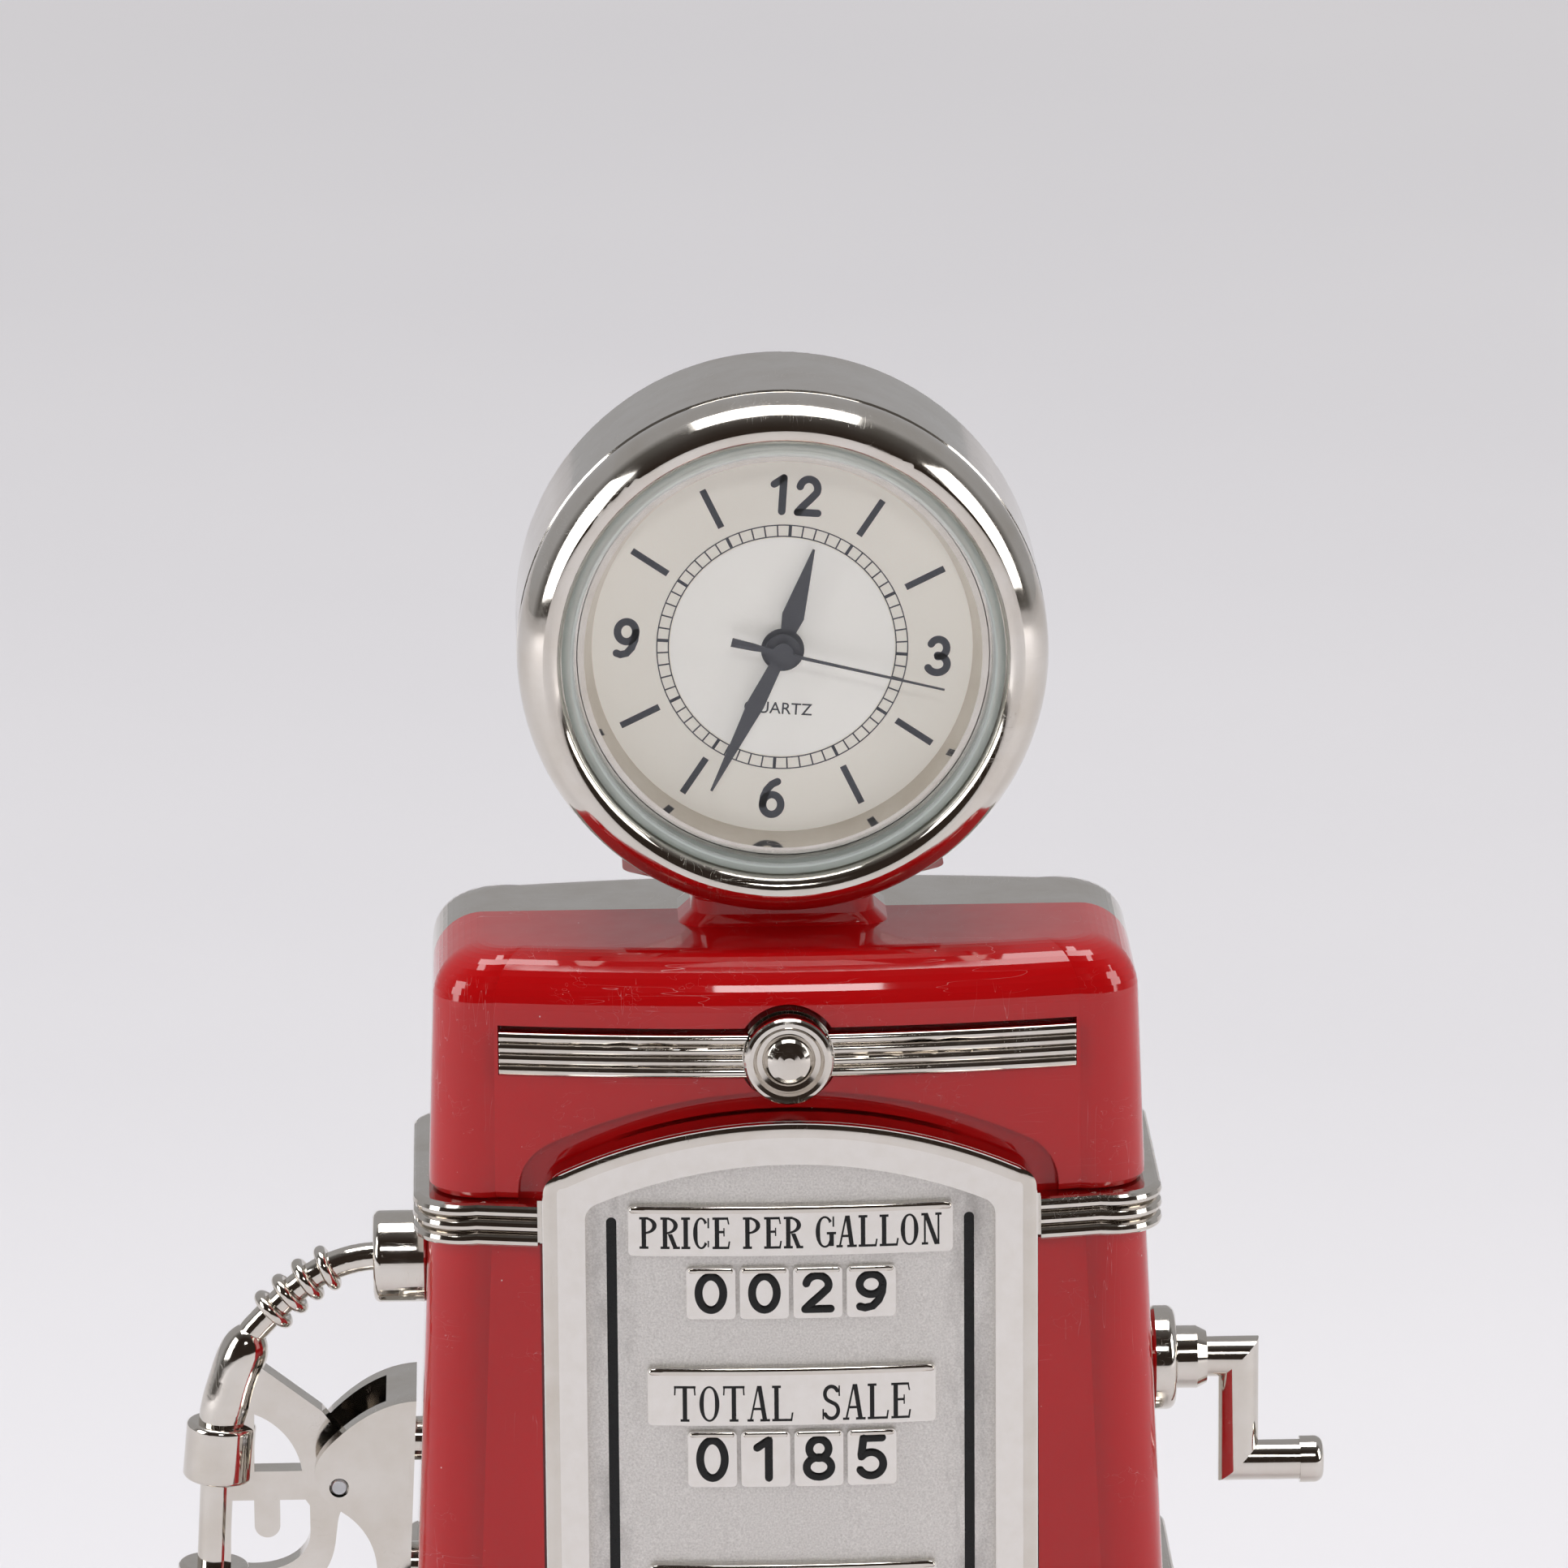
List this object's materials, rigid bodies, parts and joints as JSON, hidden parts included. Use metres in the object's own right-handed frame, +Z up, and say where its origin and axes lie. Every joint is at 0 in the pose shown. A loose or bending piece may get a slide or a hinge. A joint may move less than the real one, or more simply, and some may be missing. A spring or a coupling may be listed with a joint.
{
  "type": "miniature fuel pump desk clock",
  "caption": "Miniature die-cast fuel pump with a quartz clock head, ribbed trim, hand crank, hinged nozzle on a holster and rubber hose.",
  "frame": {"origin": "bottom centre of the base pad, under the middle of the case", "axes": "+X to the viewer's right (crank side), +Y to the back, +Z up"},
  "size_m": [0.0628, 0.0262, 0.0913],
  "materials": {
    "red_lacquer": "high gloss",
    "polished_nickel": "polished",
    "brushed_nickel": "satin plated",
    "black_enamel": "enamel fill",
    "steel_screw": "bright",
    "black_rubber": "matte",
    "grey_rubber": "matte",
    "clear_glass": "flat, bevelled edge",
    "silver_dial": "silvered sunray",
    "hand_grey": "semi gloss",
    "white_plastic": "moulded",
    "movement_metal": "satin",
    "circuit_green": "laminate",
    "copper_coil": "enamelled wire",
    "core_steel": "soft iron",
    "cell_steel": "bright"
  },
  "bodies": {
    "pump_case": {"front_shell": "red_lacquer", "rear_shell": "polished_nickel", "cap_front": "red_lacquer", "cap_rear": "polished_nickel", "upper_belt": "polished_nickel", "lower_belt": "polished_nickel", "faceplate": "polished_nickel", "slot_inlays": "black_enamel", "faceplate_nuts": "steel_screw", "trim_bar": "polished_nickel", "medallion": "polished_nickel", "trim_nuts": "steel_screw", "plinth": "polished_nickel", "base_pad": "black_rubber", "base_screws": "steel_screw", "case_screws": "steel_screw", "cap_screws": "steel_screw", "clock_housing": "polished_nickel", "head_screw": "steel_screw", "bracket_screws": "steel_screw", "crank_escutcheon": "polished_nickel", "nozzle_boot": "polished_nickel", "holster_bracket": "polished_nickel", "holster_pin": "steel_screw", "hose": "black_rubber", "hose_grommet": "black_rubber"},
    "crank": {"crank": "polished_nickel", "crank_clip": "steel_screw"},
    "nozzle": {"nozzle": "polished_nickel", "hose_coupling": "polished_nickel"},
    "gasket": {"grip_gasket": "grey_rubber"},
    "clock_insert": {"bezel": "polished_nickel", "crystal": "clear_glass", "reflector_ring": "polished_nickel", "dial": "silver_dial", "insert_case": "white_plastic", "case_back": "brushed_nickel", "movement_ring": "white_plastic", "movement_plate": "movement_metal", "train_bridge": "movement_metal", "circuit_board": "circuit_green", "coil": "copper_coil", "stator": "core_steel", "battery": "cell_steel", "battery_clip": "cell_steel"},
    "seconds": {"seconds_wheel": "movement_metal", "second_hand": "hand_grey"},
    "minutes": {"centre_wheel": "movement_metal", "minute_hand": "hand_grey"},
    "hours": {"hour_wheel": "movement_metal", "hour_hand": "hand_grey"},
    "third": {"third_wheel": "movement_metal"},
    "fifth": {"fifth_wheel": "movement_metal"},
    "rotor": {"rotor": "core_steel"},
    "minute_works": {"minute_wheel": "movement_metal"},
    "lever": {"setting_lever": "core_steel"},
    "stem": {"winding_stem": "core_steel", "crown": "core_steel"}
  },
  "joints": [
    {"name": "crank_turn", "type": "hinge", "parent": "pump_case", "child": "crank", "pos_m": [0.0197, 0, 0.0358], "axis": [1, 0, 0], "continuous": true},
    {"name": "nozzle_swing", "type": "hinge", "parent": "pump_case", "child": "nozzle", "pos_m": [-0.0244, 0, 0.0302], "axis": [0, -1, 0], "range_deg": [0, 20], "deforming": ["hose"]},
    {"name": "insert_pull", "type": "slide", "parent": "pump_case", "child": "gasket", "axis": [0, -1, 0], "range_m": [0, 0.016]},
    {"name": "insert_turn", "type": "hinge", "parent": "gasket", "child": "clock_insert", "pos_m": [0, -0.004, 0.0772], "axis": [0, 1, 0], "continuous": true},
    {"name": "seconds_turn", "type": "hinge", "parent": "clock_insert", "child": "seconds", "pos_m": [0, -0.0057, 0.0772], "axis": [0, 1, 0], "continuous": true},
    {"name": "minutes_turn", "type": "hinge", "parent": "clock_insert", "child": "minutes", "pos_m": [0, -0.0052, 0.0772], "axis": [0, 1, 0], "continuous": true},
    {"name": "hours_turn", "type": "hinge", "parent": "clock_insert", "child": "hours", "pos_m": [0, -0.0048, 0.0772], "axis": [0, 1, 0], "continuous": true},
    {"name": "third_turn", "type": "hinge", "parent": "clock_insert", "child": "third", "pos_m": [0.00015, -0.002, 0.07923], "axis": [0, 1, 0], "continuous": true},
    {"name": "fifth_turn", "type": "hinge", "parent": "clock_insert", "child": "fifth", "pos_m": [0.0019, -0.0017, 0.07672], "axis": [0, 1, 0], "continuous": true},
    {"name": "rotor_turn", "type": "hinge", "parent": "clock_insert", "child": "rotor", "pos_m": [0.00262, -0.0022, 0.07547], "axis": [0, 1, 0], "continuous": true},
    {"name": "minute_works_turn", "type": "hinge", "parent": "clock_insert", "child": "minute_works", "pos_m": [0.00216, -0.0036, 0.07824], "axis": [0, 1, 0], "continuous": true},
    {"name": "stem_pull", "type": "slide", "parent": "clock_insert", "child": "lever", "axis": [0.9973, 0, -0.0732], "range_m": [0, 0.0008]},
    {"name": "crown_turn", "type": "hinge", "parent": "lever", "child": "stem", "pos_m": [0.01087, -0.002, 0.0764], "axis": [0.9973, 0, -0.0732], "continuous": true}
  ],
  "couplings": [
    {"joint": "minutes_turn", "follows": "seconds_turn", "ratio": 0.016667},
    {"joint": "hours_turn", "follows": "seconds_turn", "ratio": 0.0013889},
    {"joint": "third_turn", "follows": "seconds_turn", "ratio": -0.13333},
    {"joint": "minute_works_turn", "follows": "seconds_turn", "ratio": -0.0055556},
    {"joint": "fifth_turn", "follows": "seconds_turn", "ratio": -6},
    {"joint": "rotor_turn", "follows": "seconds_turn", "ratio": 30}
  ]
}
